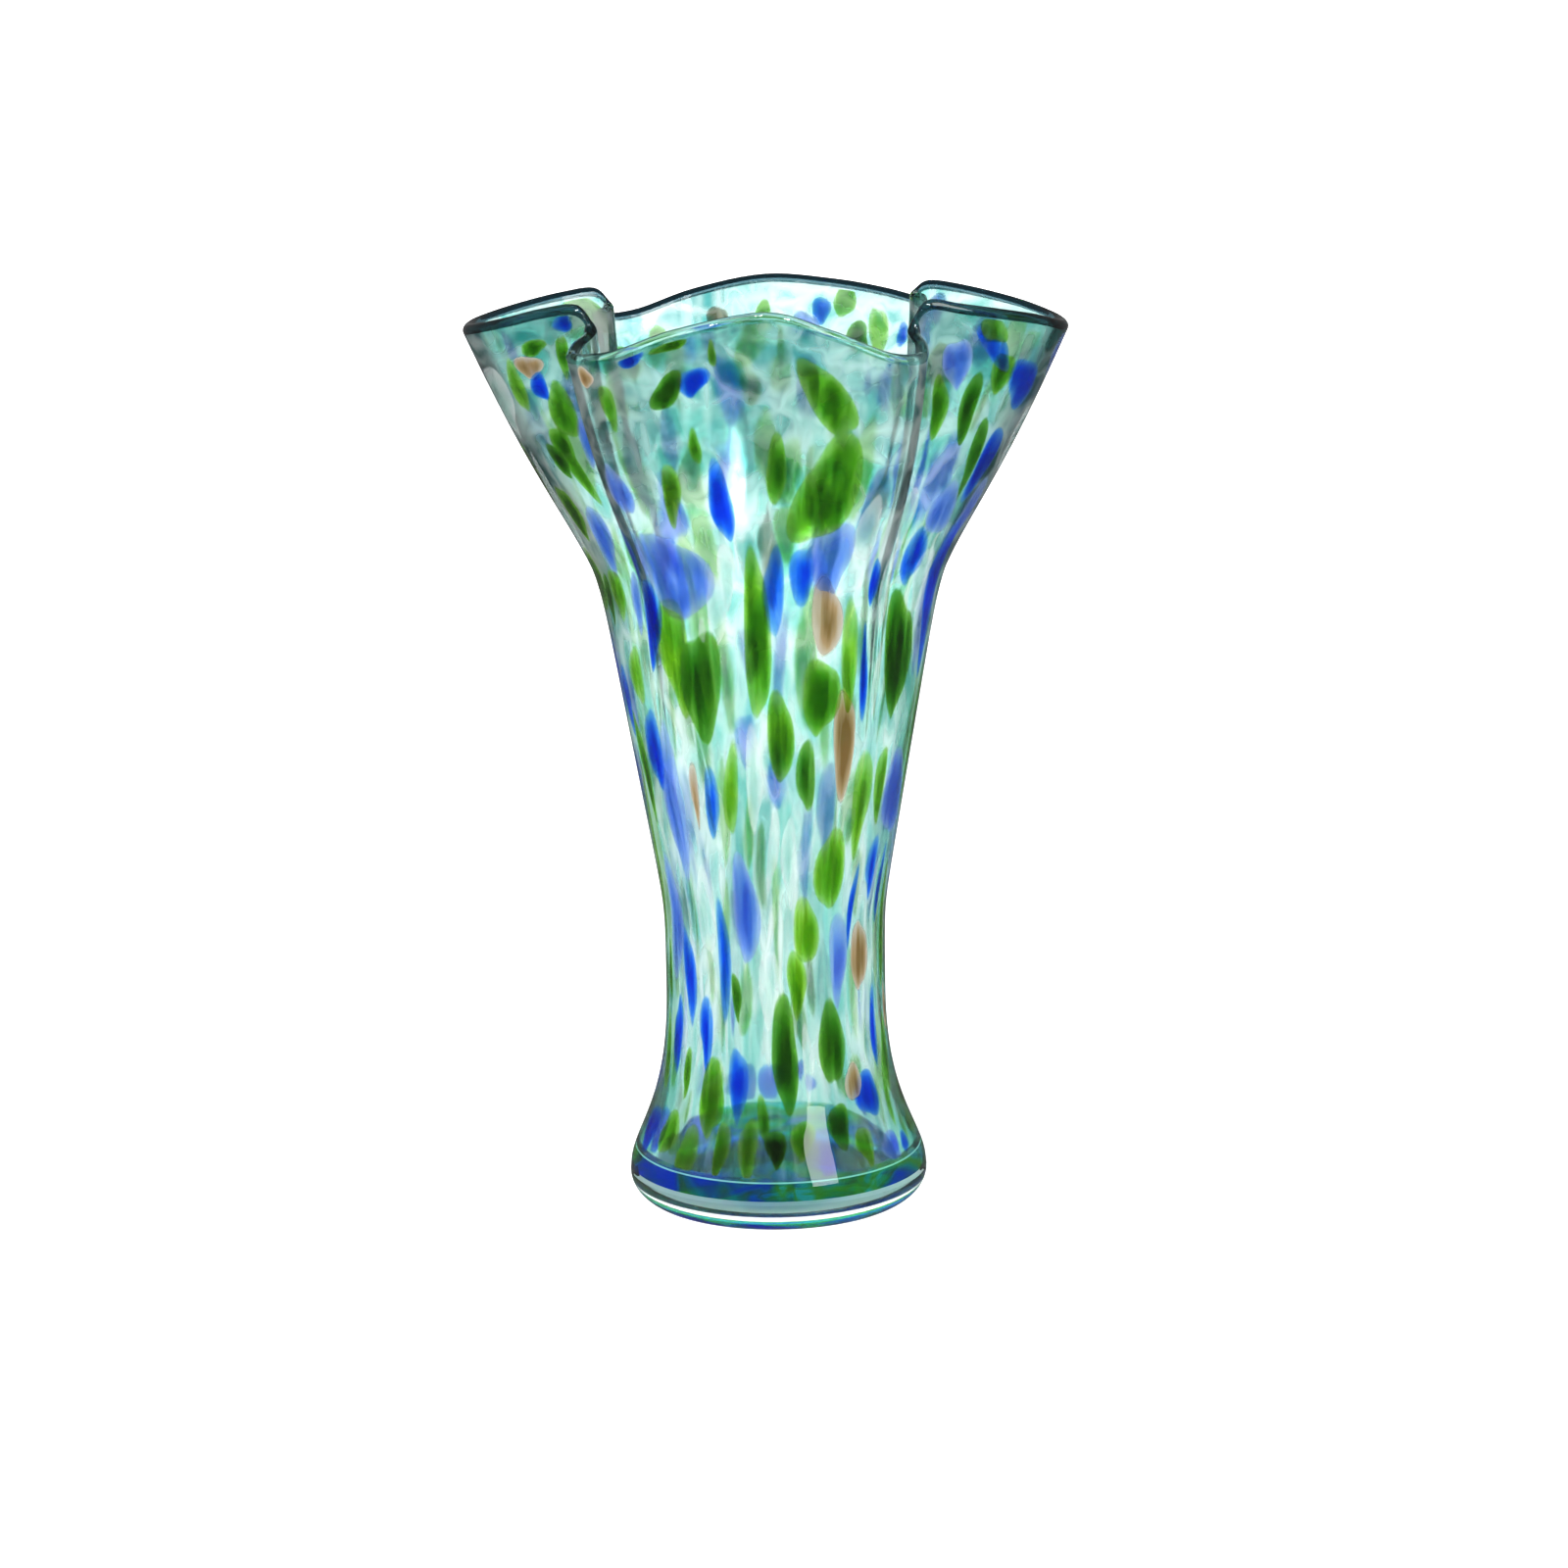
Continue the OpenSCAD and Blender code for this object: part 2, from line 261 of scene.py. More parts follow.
def remap(tree, value, low, high, to_low=0.0, to_high=1.0, kind="LINEAR"):
    """Carry a value from one range to another, held at both ends."""
    return put(tree, "ShaderNodeMapRange", {"interpolation_type": kind}, s0=value, s1=low, s2=high,
               s3=to_low, s4=to_high).outputs[0]


def maths(tree, operation, *values):
    numbered = {"s%d" % i: value for i, value in enumerate(values)}
    return put(tree, "ShaderNodeMath", {"operation": operation}, **numbered).outputs[0]


def blend(tree, share, first, second):
    return put(tree, "ShaderNodeMixShader", s0=share, s1=first.outputs[0], s2=second.outputs[0])


def mix_colour(tree, share, low, high, kind="MIX"):
    return put(tree, "ShaderNodeMix", {"data_type": "RGBA", "blend_type": kind},
               s0=share, s6=low, s7=high).outputs[2]


def ramp(tree, fac, stops):
    made = put(tree, "ShaderNodeValToRGB", Fac=fac)
    bar = made.color_ramp
    while len(bar.elements) < len(stops):
        bar.elements.new(0.5)
    for element, (place, colour) in zip(bar.elements, stops):
        element.position = place
        element.color = colour
    return made.outputs[0]


def on_piece(tree):
    """Place on the piece itself, in metres."""
    return put(tree, "ShaderNodeTexCoord").outputs["Object"]


def painted(tree, name, output):
    """A value painted on the piece's points."""
    return put(tree, "ShaderNodeAttribute", {"attribute_name": name}).outputs[output]


def along(tree, axis, vector):
    return put(tree, "ShaderNodeSeparateXYZ", Vector=vector).outputs[axis]


def stretched(tree, flow, scale, detail=2.0):
    """Noise drawn out along the melted glass."""
    drawn = put(tree, "ShaderNodeMapping", Vector=flow, Scale=scale)
    return put(tree, "ShaderNodeTexNoise", Vector=drawn.outputs[0], Scale=1.0, Detail=detail)


def new_material(name):
    material = bpy.data.materials.new(name)
    material.use_nodes = True
    material.node_tree.nodes.clear()
    return material, material.node_tree


def finish_material(tree, shader):
    put(tree, "ShaderNodeOutputMaterial", Surface=shader)


def grid_piece(name, across, section, materials):
    """A grid rolled round the vase and joined up: section lists (place(u), slot) row by row."""
    rows = len(section)
    bpy.ops.object.select_all(action="DESELECT")
    bpy.ops.mesh.primitive_grid_add(x_subdivisions=across, y_subdivisions=rows, size=2)
    piece = bpy.context.object
    piece.name = piece.data.name = name
    mesh = piece.data
    for material in materials:
        mesh.materials.append(material)
    for polygon in mesh.polygons:
        row = int((polygon.center.y + 1) / 2 * rows)
        polygon.material_index = section[row][1]
    for v in mesh.vertices:
        column = round((v.co.x + 1) / 2 * across) % across
        row = round((v.co.y + 1) / 2 * rows) % rows
        v.co = [c * MM for c in section[row][0](column / across * RIM_N)]
    join_up()
    return piece


def join_up():
    """Close the seams of the rolled grid and turn its faces outwards."""
    bpy.ops.object.mode_set(mode="EDIT")
    bpy.ops.mesh.select_all(action="SELECT")
    bpy.ops.mesh.remove_doubles(threshold=0.000005)
    bpy.ops.mesh.normals_make_consistent(inside=False)
    bpy.ops.object.mode_set(mode="OBJECT")
    shade_smooth(50)


def shade_smooth(degrees):
    """Shade the piece in hand smoothly, but for edges that turn more than this."""
    bpy.ops.object.shade_smooth_by_angle(angle=math.radians(degrees))


def hand_in(piece, slot, *nodes):
    """Every piece rides with the vase and stands for its own gather of glass."""
    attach(piece, "root")
    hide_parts(*nodes)


# ---------------------------------------------------------------- glass
GLASS_IOR = 1.5
EDGE_ON = 0.98
WHITE = (1, 1, 1, 1)


def edge_depth(tree, turn):
    """Rises from 0 past turn to 1 where glass is seen edge-on and light has crossed far more of it."""
    facing = put(tree, "ShaderNodeLayerWeight", Blend=0.5).outputs["Facing"]
    return remap(tree, facing, turn, EDGE_ON, kind="SMOOTHSTEP")


def gloss(tree, colour, roughness=0.0, through=1.0):
    return put(tree, "ShaderNodeBsdfPrincipled", Base_Color=colour, Roughness=roughness,
               IOR=GLASS_IOR, Transmission_Weight=through)


def clear_glass(name, edge, ripple, roughness=0.0, turn=0.65):
    """Fire-polished soda glass: no grain, a sharp gloss, faint ripples drawn up by the blowing,
    darkening to edge where it is seen edge-on."""
    material, tree = new_material(name)
    shader = gloss(tree, mix_colour(tree, edge_depth(tree, turn), WHITE, linear(edge)), roughness)
    drawn = put(tree, "ShaderNodeMapping", Vector=on_piece(tree), Scale=(90, 90, 14))
    waves = put(tree, "ShaderNodeTexNoise", Vector=drawn.outputs[0], Scale=1.0, Detail=1.0)
    bump = put(tree, "ShaderNodeBump", Height=waves.outputs["Fac"], Strength=1.0, Distance=ripple * MM)
    tree.links.new(bump.outputs[0], shader.inputs["Normal"])
    finish_material(tree, shader.outputs[0])
    return material


def lip_glass():
    """Teal glass with painted shade: nearly black teal round the side and back lobes, standing for the light
    the bead carries round the rim, and painted lighter, a pale aqua, on the front lobe."""
    material, tree = new_material("teal_lip_painted_light_and_shade")
    # painted light and shade: pale marks the front lobe (towards -Y), painted a lighter aqua; the rest of
    # the lip is painted near-black shade
    pale = remap(tree, along(tree, "Y", on_piece(tree)), -0.052, -0.064, kind="SMOOTHSTEP")
    tint = mix_colour(tree, pale, linear("#082028"), linear("#9cd4ca"))
    edge = mix_colour(tree, pale, linear("#020a0c"), linear("#1c5058"))
    finish_material(tree, gloss(tree, mix_colour(tree, edge_depth(tree, 0.35), tint, edge)).outputs[0])
    return material


def foot_glass():
    """Clear heavy glass, a little grey, with painted shade: darkest in the thin line where it meets the
    table.
    """
    material, tree = new_material("heavy_foot_glass")
    # painted shade: 0 at the table, where the foot is painted dark, rising to 1 at 7.5 mm, where the plain
    # tint takes over
    painted_table_shade_fade = remap(tree, along(tree, "Z", on_piece(tree)), 0.0, 0.0075)
    body = mix_colour(tree, edge_depth(tree, 0.6), linear("#d0d6d6"), linear("#7c888a"))
    colour = mix_colour(tree, painted_table_shade_fade, linear("#848e90"), body)
    finish_material(tree, gloss(tree, colour, 0.08).outputs[0])
    return material


def ground_base():
    """The ground ring the vase stands on: finely frosted glass that scatters light."""
    material, tree = new_material("ground_glass_base")
    finish_material(tree, gloss(tree, linear("#cfd6d6"), 0.7, through=0.35).outputs[0])
    return material


def fused_face(name):
    """Where two gathers of glass have melted together there is no surface to see."""
    material, tree = new_material(name)
    finish_material(tree, put(tree, "ShaderNodeBsdfTransparent", Color=WHITE).outputs[0])
    return material


def half_way(hex_colour):
    """Tint of one face of a gather that light crosses twice."""
    return [math.sqrt(c) for c in linear(hex_colour)]


def tinted_glass(tree, colour, cloud, cloud_share, edge_tint=WHITE):
    """Coloured glass held inside clear glass: light passes tinted, a little is scattered.
    Seen edge-on the coloured layer is deeper; light bent into glass never leans past 0.25."""
    facing = put(tree, "ShaderNodeLayerWeight", Blend=0.5).outputs["Facing"]
    deeper = mix_colour(tree, remap(tree, facing, 0.2, 0.25), colour, edge_tint, "MULTIPLY")
    through = put(tree, "ShaderNodeBsdfTransparent", Color=deeper)
    scatter = put(tree, "ShaderNodeBsdfTranslucent", Color=cloud)
    glow = put(tree, "ShaderNodeBsdfDiffuse", Color=cloud)
    return blend(tree, cloud_share, through, blend(tree, 0.5, scatter, glow)).outputs[0]


def heel_share(tree, up):
    """Down by the floor the layers are clearer, so that the pooled colour shows through."""
    return remap(tree, up, 0.6, 1.6, 0.5, 1.0)


TEALS = ((0.12, "#1c7070"), (0.3, "#40a49c"), (0.44, "#2c8480"), (0.56, "#60bcb0"),
         (0.7, "#3c9488"), (0.84, "#509cb0"), (0.95, "#88ccc4"))


def teal_ground():
    """Crushed teal frit melted over the core: flakes round at the rim and drawn long and thin
    below the shoulder, with milky veins and wisps between."""
    material, tree = new_material("teal_frit_ground")
    flow = painted(tree, "flow", "Vector")
    up = along(tree, "Z", flow)
    wobble = stretched(tree, flow, (1.1, 1.1, 0.8))
    shift = put(tree, "ShaderNodeVectorMath", {"operation": "MULTIPLY_ADD"}, s0=wobble.outputs["Color"],
                s1=(1.5, 1.5, 1.2), s2=flow).outputs[0]
    flakes = put(tree, "ShaderNodeTexVoronoi", {"feature": "SMOOTH_F1"}, Vector=shift, Scale=1.1,
                 Smoothness=0.5)
    edges = put(tree, "ShaderNodeTexVoronoi", {"feature": "DISTANCE_TO_EDGE"}, Vector=shift, Scale=1.1)
    shade = put(tree, "ShaderNodeSeparateColor", Color=flakes.outputs["Color"]).outputs[0]
    flake = ramp(tree, shade, [(place, half_way(c)) for place, c in TEALS])
    body = ramp(tree, shade, [(place, linear(c)) for place, c in TEALS])

    milk = stretched(tree, flow, (0.4, 0.4, 0.7)).outputs["Fac"]
    reach = remap(tree, milk, 0.34, 0.64, 0.14, 0.5)
    rich = remap(tree, up, 6.8, 9.5)
    soft = remap(tree, rich, 0.0, 1.0, 1.0, 0.78)
    milky = maths(tree, "MULTIPLY", remap(tree, milk, 0.34, 0.58, 0.2, 0.95), soft)
    vein = remap(tree, edges.outputs[0], 0.0, reach, milky, 0.0, "SMOOTHSTEP")
    wisp = remap(tree, stretched(tree, flow, (2.6, 2.6, 0.45), 1.0).outputs["Fac"], 0.48, 0.8, 0.0, 0.7)
    heel = heel_share(tree, up)
    white = maths(tree, "MULTIPLY", maths(tree, "MAXIMUM", vein, wisp), heel)

    thin = remap(tree, up, 6.4, 9.0, 0.42, 0.0)
    tint = mix_colour(tree, white, mix_colour(tree, thin, flake, half_way("#a8ece0")), half_way("#e8f6f2"))
    tint = mix_colour(tree, rich, tint, linear("#ccdad8"), "MULTIPLY")
    cloud = mix_colour(tree, white, mix_colour(tree, thin, body, linear("#98dcd2")), linear("#f4faf8"))
    share = maths(tree, "MULTIPLY", remap(tree, white, 0.0, 1.0, 0.12, 0.34), heel)
    edge_tint = mix_colour(tree, remap(tree, up, 4.5, 8.0), linear("#c8ece4"), linear("#0c4a50"))
    finish_material(tree, tinted_glass(tree, tint, cloud, share, edge_tint))
    return material


def chip_glass(name, deep, middle_shade, pale, cloud_share):
    """One colour of frit: full in the middle of a chip, thin and pale at its melted edge."""
    material, tree = new_material(name)
    heart = painted(tree, "heart", "Fac")
    flow = painted(tree, "flow", "Vector")
    uneven = remap(tree, stretched(tree, flow, (4.0, 4.0, 0.9)).outputs["Fac"], 0.3, 0.7, 0.4, 1.5)
    full = maths(tree, "MULTIPLY", heart, uneven)
    shades = ((0.07, pale), (0.35, middle_shade), (0.8, deep))
    colour = ramp(tree, full, [(0.0, WHITE)] + [(place, half_way(c)) for place, c in shades])
    body = ramp(tree, full, [(place, linear(c)) for place, c in shades])
    full_share = remap(tree, heart, 0.0, 0.1, 0.0, cloud_share)
    share = maths(tree, "MULTIPLY", full_share, heel_share(tree, along(tree, "Z", flow)))
    finish_material(tree, tinted_glass(tree, colour, body, share))
    return material


def floor_colour():
    """Colours that slid down and pooled in the thick floor of the cup, blue towards the sides."""
    material, tree = new_material("pooled_floor_glass")
    where = on_piece(tree)
    pools = put(tree, "ShaderNodeTexNoise", Vector=where, Scale=34.0, Detail=2.0, Distortion=1.4)
    side = maths(tree, "ABSOLUTE", along(tree, "X", where))
    slid = maths(tree, "MULTIPLY_ADD", side, -2.0, pools.outputs["Fac"])
    stops = ((0.36, "#1040d8"), (0.42, "#1c5898"), (0.46, "#1c949c"), (0.53, "#4c9410"), (0.59, "#40b8b4"))
    colour = ramp(tree, slid, [(place, half_way(c)) for place, c in stops])
    body = ramp(tree, slid, [(place, linear(c)) for place, c in stops])
    finish_material(tree, tinted_glass(tree, colour, body, 0.05))
    return material


def painted_highlight_edge():
    """Painted highlight: where the cup's floor turns up into its wall, pale aqua scattering glass stands for
    the light the edge gathers into a thin line.
    """
    material, tree = new_material("aqua_floor_edge_painted_highlight")
    aqua = linear("#a4f0e4")
    finish_material(tree, tinted_glass(tree, aqua, aqua, 0.5))
    return material


GLASS = clear_glass("fire_polished_glass", "#408888", ripple=0.35, turn=0.78)
INNER_GLASS = clear_glass("fire_polished_inner_glass", "#1c6462", ripple=0.5, roughness=0.1)
FUSED = fused_face("fused_seam")

# ---------------------------------------------------------------- walls
ACROSS = RIM_N * 6
UP = 90
HEEL_CROWDING = 1.15
FLOW_R = 5.2
FLOW_PER_MM = 0.026
FLOW_AT_RIM = 4.2
RIM_SPARE = 12


def flow_up(z):
    """Flakes are longest at the waist and round at the rim."""
    z = clamp(z, 0, LIP_H + RIM_SPARE)
    return FLOW_PER_MM * z + FLOW_AT_RIM * (z / LIP_H) ** 4


def paint_flow(piece):
    """Where each point lies in the melted glass: round the vase, and up it as it was stretched."""
    layer = piece.data.attributes.new("flow", "FLOAT_VECTOR", "POINT")
    values = []
    for v in piece.data.vertices:
        x, y, z = (c / MM for c in v.co)
        a = math.atan2(y, x)
        values += (FLOW_R * math.cos(a), FLOW_R * math.sin(a), flow_up(z))
    layer.data.foreach_set("vector", values)


def heights(first_z):
    """Body heights from a wall's base to its lip, closer together at the heel."""
    return [first_z + (LIP_H - first_z) * (i / UP) ** HEEL_CROWDING for i in range(UP + 1)]


def ring(face, z):
    """One row of a wall's face, at a height."""
    return lambda u: wall_point(u, z, face(z))


def section_of(first_z, outside, inside, slots):
    """Section of a wall as a closed loop of rows: up the outside, down the inside."""
    up_slot, top_slot, down_slot, base_slot = slots
    levels = heights(first_z)
    rows = [(ring(outside, z), up_slot) for z in levels]
    rows[-1] = (rows[-1][0], top_slot)
    rows += [(ring(inside, z), down_slot) for z in reversed(levels)]
    rows[-1] = (rows[-1][0], base_slot)
    return rows


def casing():
    """Clear outer gather of glass over the colour."""
    rows = section_of(FOOT_H, lambda z: 0.0, casing_t, (0, 1, 1, 1))
    piece = grid_piece("clear_casing", ACROSS, rows, [GLASS, FUSED])
    hand_in(piece, "casing_glass", "casing")


def core():
    """Coloured inner gather: tinted where it meets the casing, glossy inside the vase."""
    rows = section_of(FLOOR_Z, lambda z: casing_t(z) + SEAM, wall_t, (0, 1, 2, 1))
    piece = grid_piece("teal_core", ACROSS, rows, [teal_ground(), FUSED, INNER_GLASS])
    paint_flow(piece)
    hand_in(piece, "core_glass", "core")


def lip():
    """Rounded bead left by the flame that closes the rim."""
    steps = 10
    t = wall_t(LIP_H)
    tilt = lean(LIP_H)

    def at(k, u):
        a = math.pi * k / steps
        x, y, z = wall_point(u, LIP_H, t / 2 * (1 - math.cos(a)))
        x1, y1, z1 = wall_point(u, LIP_H, 0)
        x2, y2, z2 = wall_point(u, LIP_H, t)
        run = math.hypot(x1 - x2, y1 - y2)
        up = (math.sin(tilt) * (x1 - x2) / run, math.sin(tilt) * (y1 - y2) / run, math.cos(tilt))
        rise = LIP_BEAD * math.sin(a)
        return x + up[0] * rise, y + up[1] * rise, z + up[2] * rise

    rows = [(functools.partial(at, k), 0) for k in range(steps + 1)]
    rows[-1] = (rows[-1][0], 1)
    piece = grid_piece("lip_bead", ACROSS, rows, [lip_glass(), FUSED])
    hand_in(piece, "lip_glass", "lip")


DISC_SIDES = 192
DISC_SMOOTH = 35


def disc(name, radius, low, high, materials):
    bpy.ops.object.select_all(action="DESELECT")
    bpy.ops.mesh.primitive_cylinder_add(vertices=DISC_SIDES, radius=radius * MM, depth=(high - low) * MM,
                                        location=(0, 0, (low + high) / 2 * MM))
    piece = bpy.context.object
    piece.name = piece.data.name = name
    bpy.ops.object.transform_apply(location=True, rotation=True, scale=True)
    for material in materials:
        piece.data.materials.append(material)
    return piece


def select_where(piece, test, kind="FACE"):
    """Leave edit mode open with only the faces or edges that pass the test selected."""
    bpy.ops.object.mode_set(mode="EDIT")
    bpy.ops.mesh.select_mode(type=kind)
    bpy.ops.mesh.select_all(action="DESELECT")
    bpy.ops.object.mode_set(mode="OBJECT")
    items = piece.data.polygons if kind == "FACE" else piece.data.edges
    for item in items:
        item.select = test(item)
    bpy.ops.object.mode_set(mode="EDIT")


def edge_at(piece, z):
    def test(edge):
        return all(abs(piece.data.vertices[i].co.z - z * MM) < 1e-6 for i in edge.vertices)
    return test


def underside(face):
    return face.normal.z < -0.99 and face.center.z < 1e-5 and len(face.vertices) > 4


def foot():
    """Heavy clear foot, its underside hollowed where the punty was knocked off, and finely frosted."""
    piece = disc("clear_foot", FOOT_R, 0, FOOT_H, [foot_glass(), FUSED, ground_base()])
    rise = FOOT_H - FOOT_LAND
    select_where(piece, edge_at(piece, 0), "EDGE")
    bpy.ops.mesh.bevel(offset=rise * MM, segments=16, affect="EDGES")
    bpy.ops.object.mode_set(mode="OBJECT")
    for v in piece.data.vertices:
        r = v.co.xy.length
        if r > (FOOT_R - rise - 0.01) * MM:
            wanted = FOOT_R * MM - (FOOT_R * MM - r) * FOOT_ROUND / rise
            v.co.x, v.co.y = v.co.x * wanted / r, v.co.y * wanted / r
    select_where(piece, underside)
    bpy.ops.mesh.inset(thickness=(FOOT_R - FOOT_ROUND - PONTIL_R) * MM)
    last = PONTIL_R
    for share in (0.85, 0.6, 0.3):
        bpy.ops.mesh.inset(thickness=(last - PONTIL_R * share) * MM)
        deeper = PONTIL_DEPTH * ((last / PONTIL_R) ** 2 - share ** 2)
        bpy.ops.transform.translate(value=(0, 0, deeper * MM))
        last = PONTIL_R * share
    bpy.ops.object.mode_set(mode="OBJECT")
    for f in piece.data.polygons:
        if f.center.z > (FOOT_H - 0.1) * MM:
            f.material_index = 1
        elif f.center.xy.length < (FOOT_R - FOOT_ROUND) * MM:
            f.material_index = 2
    shade_smooth(DISC_SMOOTH)
    hand_in(piece, "foot_glass", "foot")


def core_floor():
    """Thick coloured floor of the inner cup, with a painted highlight: a bright aqua line where its edge
    turns.
    """
    radius = body_r(FOOT_H) - casing_t(FOOT_H) - SEAM - FLOOR_FIT
    piece = disc("cup_floor", radius, FOOT_H, FLOOR_Z, [floor_colour(), painted_highlight_edge()])
    select_where(piece, edge_at(piece, FLOOR_Z), "EDGE")
    bpy.ops.mesh.bevel(offset=0.5 * MM, segments=3, affect="EDGES")
    bpy.ops.object.mode_set(mode="OBJECT")
    for f in piece.data.polygons:
        # the turned bevel faces take the painted highlight line, the rest the pooled colour
        f.material_index = 1 if 0.1 < f.normal.z < 0.95 else 0
    shade_smooth(DISC_SMOOTH)
    hand_in(piece, "floor_glass", "core_floor")


# ---------------------------------------------------------------- chips
# angle, height, width, length, lean of each chip
CHIPS = {
    "green": [
        (286, 243, 19, 40, 18), (284, 271, 13, 30, -48), (249, 287, 13, 3.5, 0), (252, 256, 5, 11, 0),
        (272, 247, 7, 20, 0), (206, 281, 10, 4.5, 0), (209, 262, 9, 19, -8), (206, 252, 7, 14, -12),
        (208, 243, 6, 18, -24), (212, 277, 4, 14, 0), (332, 285, 12, 7, 30), (336, 273, 8, 14, 0),
        (258, 282, 3, 8, 0), (233, 274, 5, 16, 0), (289, 176, 12, 28, 0), (265, 196, 8, 60, 0),
        (273, 163, 8, 32, 0), (236, 44, 9, 22, 0), (198, 232, 7, 20, -10), (70, 285, 9, 12, 0)
    ],
    "forest": [
        (247, 274, 13, 9, -30), (203, 248, 5, 13, -24), (330, 262, 7, 20, 0), (243, 180, 13, 40, 0),
        (284, 151, 6, 26, 0), (326, 186, 13, 44, 0), (274, 57, 9, 38, 0), (300, 60, 9, 32, 0),
        (336, 248, 6, 24, 0), (66, 274, 10, 10, 0), (300, 33, 9, 14, 0)
    ],
    "lime": [
        (244, 243, 7, 20, 4), (233, 190, 13, 38, 0), (300, 187, 6, 46, 0), (312, 140, 9, 34, 0),
        (298, 118, 10, 30, 0), (286, 98, 8, 24, 0), (281, 81, 7, 22, 0), (235, 40, 8, 22, 0),
        (211, 28, 10, 14, 0), (204, 206, 7, 18, 0), (281, 30, 9, 12, 0)
    ],
    "cobalt": [
        (253, 275, 12, 9, 0), (257, 238, 9, 24, -6), (213, 286, 8, 5, 0), (205, 270, 7, 9, -20),
        (333, 280, 18, 7, 38), (341, 246, 9, 22, 12), (240, 287, 12, 4, 0), (271, 209, 7, 30, 0),
        (224, 200, 10, 30, 10), (213, 157, 8, 30, 0), (243, 142, 5, 26, 0), (343, 205, 9, 52, 0),
        (242, 88, 5, 40, 0), (321, 41, 11, 17, 0), (230, 64, 6, 24, 0), (250, 47, 6, 28, 0),
        (193, 26, 12, 15, 0), (76, 281, 9, 8, 0), (206, 60, 6, 26, 0)
    ],
    "periwinkle": [
        (238, 216, 24, 30, 0), (290, 222, 14, 26, 0), (221, 140, 11, 50, 0), (337, 140, 14, 30, 0),
        (255, 105, 8, 40, 0), (206, 99, 9, 40, 0), (305, 88, 8, 30, 0), (345, 230, 8, 28, 10),
        (229, 246, 8, 20, -10), (80, 276, 10, 9, 0)
    ],
    "aventurine": [
        (290, 202, 11, 28, 0), (300, 160, 8, 36, 0), (321, 87, 8, 26, 0), (204, 276, 10, 7, 0),
        (312, 46, 7, 14, 0), (229, 284, 7, 7, 0), (221, 270, 6, 18, -10), (102, 280, 9, 8, 0)
    ],
    "opal": [
        (262, 150, 6, 34, 0), (251, 205, 6, 30, 0), (277, 122, 6, 30, 0), (266, 80, 6, 30, 0),
        (232, 104, 6, 34, 0), (315, 212, 8, 30, 0), (300, 232, 8, 26, 0), (246, 186, 5, 30, 0)
    ],
}
CHIP_T = 0.4


def chip_template():
    """One melted chip: a flattened ball with a thin round edge."""
    bpy.ops.object.select_all(action="DESELECT")
    bpy.ops.mesh.primitive_uv_sphere_add(segments=28, ring_count=14, radius=1)
    ball = bpy.context.object
    points = [tuple(v.co) for v in ball.data.vertices]
    faces = [tuple(f.vertices) for f in ball.data.polygons]
    bpy.data.objects.remove(ball, do_unlink=True)
    return points, faces


def chip_points(points, chip, dice):
    """Lay the template in the seam at the chip's place; heart is how deep each point is in colour."""
    angle, z, width, length, tilt = chip
    turn = math.radians(tilt)
    phase = [dice.uniform(0, 2 * math.pi) for _ in range(2)]
    bend = dice.uniform(-0.15, 0.15)
    point_up = dice.uniform(-0.25, 0.2)
    point_down = dice.uniform(0.0, 0.65)
    depth = dice.uniform(-0.1, 0.1)
    strength = dice.uniform(0.65, 1.3)
    full = 0.7 + width / 16
    out, heart = [], []
    for px, py, pw in points:
        rho = min(1.0, math.hypot(px, py))
        phi = math.atan2(py, px)
        swell = 1 + 0.12 * math.sin(2 * phi + phase[0]) + 0.10 * math.sin(3 * phi + phase[1])
        narrow = 1 - (point_up if py > 0 else point_down) * abs(py) ** 2
        x = (px * swell * narrow + bend * (py * py - 0.3)) * width / 2
        y = py * swell * length / 2
        sideways = x * math.cos(turn) + y * math.sin(turn)
        upwards = y * math.cos(turn) - x * math.sin(turn)
        h = clamp(z + upwards, FLOOR_Z + 1, LIP_H - 1)
        r = body_r(h) - wall_t(h) / 2
        a = angle + math.degrees(sideways / r)
        off = casing_t(h) + SEAM / 2 + depth - CHIP_T / 2 * pw
        out.append([c * MM for c in wall_point(key_for(a), h, off)])
        heart.append(min(1, (1 - rho) * full) * (0.85 - 0.2 * py) * strength)
    return out, heart


# how many of each colour are in a handful of frit
HANDFUL = {"green": 6, "forest": 3, "lime": 4, "cobalt": 4, "periwinkle": 3, "aventurine": 1, "opal": 3}
MIXTURE = [kind for kind, count in HANDFUL.items() for _ in range(count)]
# height, width and length of chips at the heel, waist, body, shoulder and rim
GROWTH = ((20, 9, 14), (60, 6, 34), (150, 7, 46), (215, 9, 36), (285, 14, 15))
TRIES = 5200
SCATTER_FROM, SCATTER_TO = 22, 283
SPARSE_FROM, SPARSE_SHARE = 235, 0.55
FRONT_LOBE_FROM, FRONT_LOBE_START, FRONT_LOBE_END = 222, 222, 318
SHOULDER_Z, SPREAD_ABOVE, SPREAD_BELOW = 200, 0.42, 0.54


def size_at(z):
    for (z0, w0, l0), (z1, w1, l1) in zip(GROWTH, GROWTH[1:]):
        if z <= z1:
            k = clamp((z - z0) / (z1 - z0))
            return w0 + (w1 - w0) * k, l0 + (l1 - l0) * k
    return GROWTH[-1][1:]


def apart(a, z, width, length, other):
    """How far a chip is from another one, as a share of their sizes added up."""
    turn = ((a - other[0] + 180) % 360 - 180) * math.pi / 180
    return math.hypot(turn * body_r(z) / (other[2] + width), (z - other[1]) / (other[3] + length))


